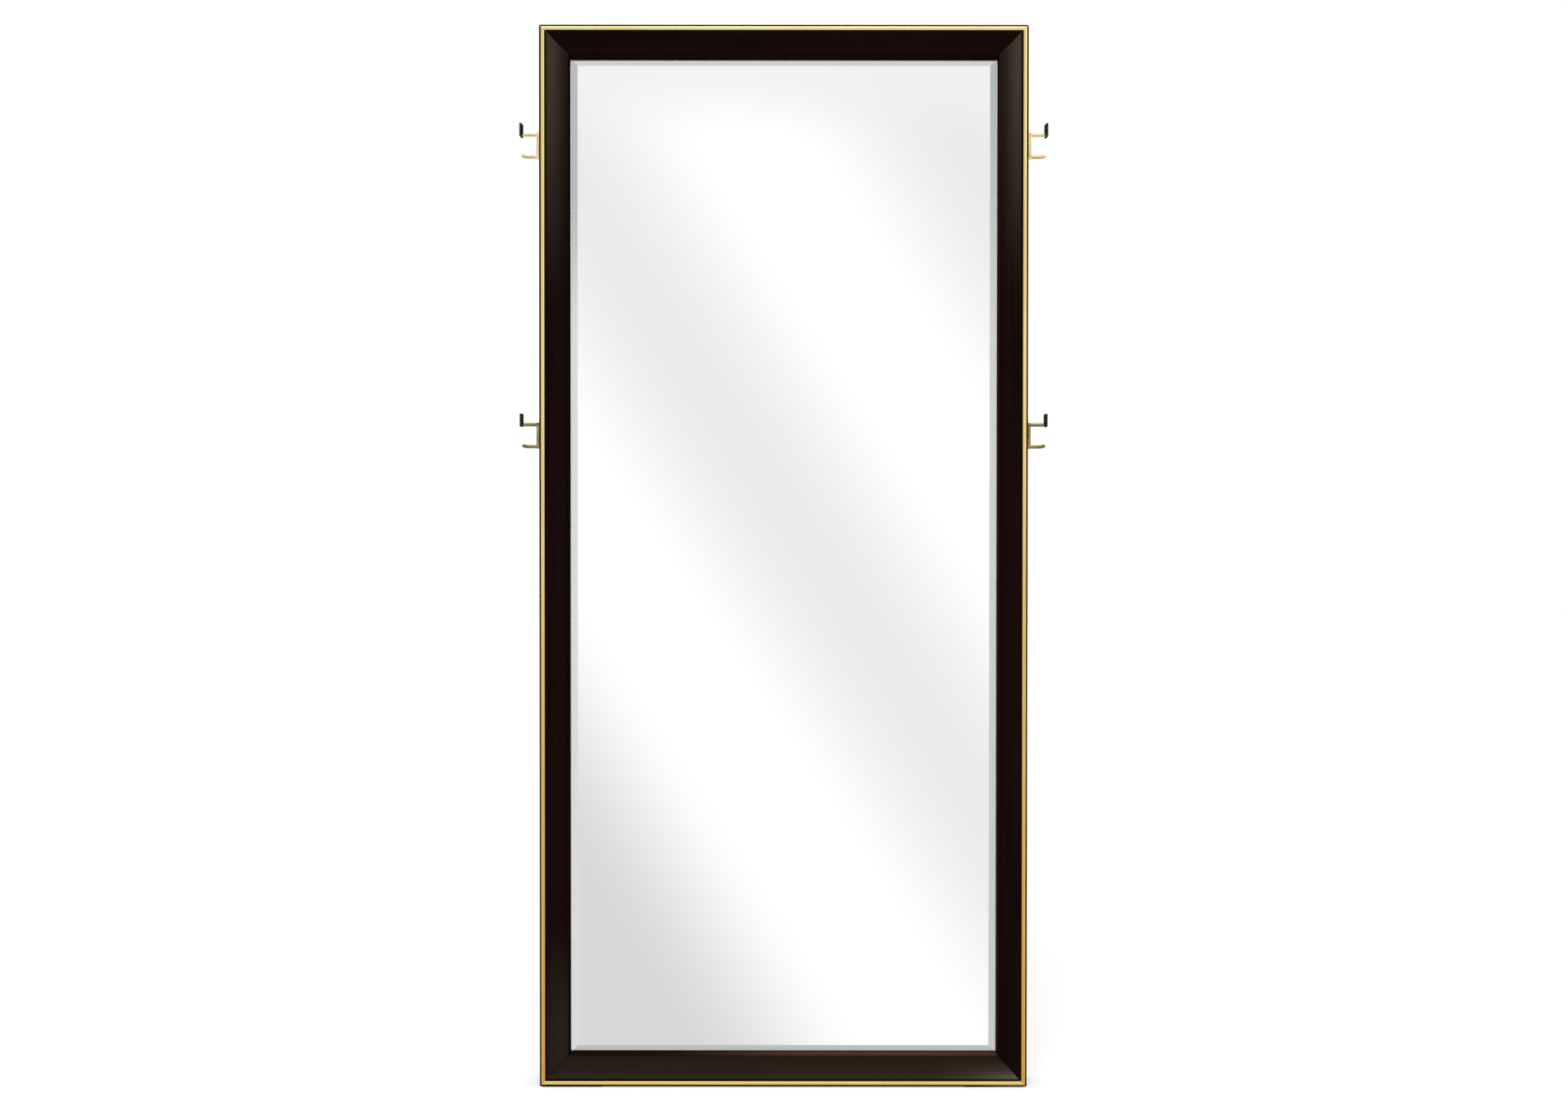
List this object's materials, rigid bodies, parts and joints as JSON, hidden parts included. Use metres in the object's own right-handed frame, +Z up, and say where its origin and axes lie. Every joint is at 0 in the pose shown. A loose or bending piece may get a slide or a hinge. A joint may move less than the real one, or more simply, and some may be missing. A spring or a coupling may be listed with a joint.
{
  "type": "floor mirror",
  "caption": "Tall bevelled floor mirror in a dark scooped wooden frame with a slim brass inlay and double-armed brass hooks on both sides.",
  "frame": {"origin": "on the floor under the middle of the mirror, halfway between the brass's front and the bumpers' back", "axes": "+Z up, -Y out of the mirror's face towards the viewer, +X to the viewer's right"},
  "size_m": [1.066, 0.081, 2.134],
  "materials": {
    "espresso_wood": "dark espresso stain under satin lacquer",
    "brass_inlay": "satin lacquered brass",
    "mirror": "silvered, bevelled",
    "pale_wood": "bare sawn softwood",
    "board": "bare fibreboard",
    "rubber": "matt black",
    "zinc_steel": "zinc plated",
    "black_screw": "black oxide",
    "hook_brass": "aged satin brass",
    "dark_bronze": "dark bronze"
  },
  "bodies": {
    "frame": {"top_rail": "espresso_wood", "bottom_rail": "espresso_wood", "left_stile": "espresso_wood", "right_stile": "espresso_wood", "brass_inlay_top": "brass_inlay", "brass_inlay_bottom": "brass_inlay", "brass_inlay_left": "brass_inlay", "brass_inlay_right": "brass_inlay", "mirror_glass": "mirror", "mitre_splines": "pale_wood", "glass_batten_top": "pale_wood", "glass_batten_bottom": "pale_wood", "glass_batten_left": "pale_wood", "glass_batten_right": "pale_wood", "back_panel": "board", "setting_blocks": "rubber", "edge_spacers": "rubber", "wall_bumpers": "rubber", "foot_pads": "rubber", "brace_top_left": "zinc_steel", "brace_top_right": "zinc_steel", "brace_bottom_left": "zinc_steel", "brace_bottom_right": "zinc_steel", "ring_plate_left": "zinc_steel", "ring_plate_right": "zinc_steel", "panel_screws": "black_screw", "brace_screws": "black_screw", "ring_plate_screws": "black_screw", "hook_screws": "black_screw", "tab_screws": "black_screw", "hook_bracket_upper_left": "hook_brass", "hook_bracket_upper_right": "hook_brass", "hook_bracket_lower_left": "hook_brass", "hook_bracket_lower_right": "hook_brass", "hook_tab_upper_left": "dark_bronze", "hook_tab_upper_right": "dark_bronze", "hook_tab_lower_left": "dark_bronze", "hook_tab_lower_right": "dark_bronze"},
    "ring_left": {"hanging_ring_left": "zinc_steel"},
    "ring_right": {"hanging_ring_right": "zinc_steel"}
  },
  "joints": [
    {"name": "ring_left_swing", "type": "hinge", "parent": "frame", "child": "ring_left", "pos_m": [-0.475, 0.0341, 1.794], "axis": [1, 0, 0], "range_deg": [0, 180]},
    {"name": "ring_right_swing", "type": "hinge", "parent": "frame", "child": "ring_right", "pos_m": [0.475, 0.0341, 1.794], "axis": [1, 0, 0], "range_deg": [0, 180]}
  ]
}
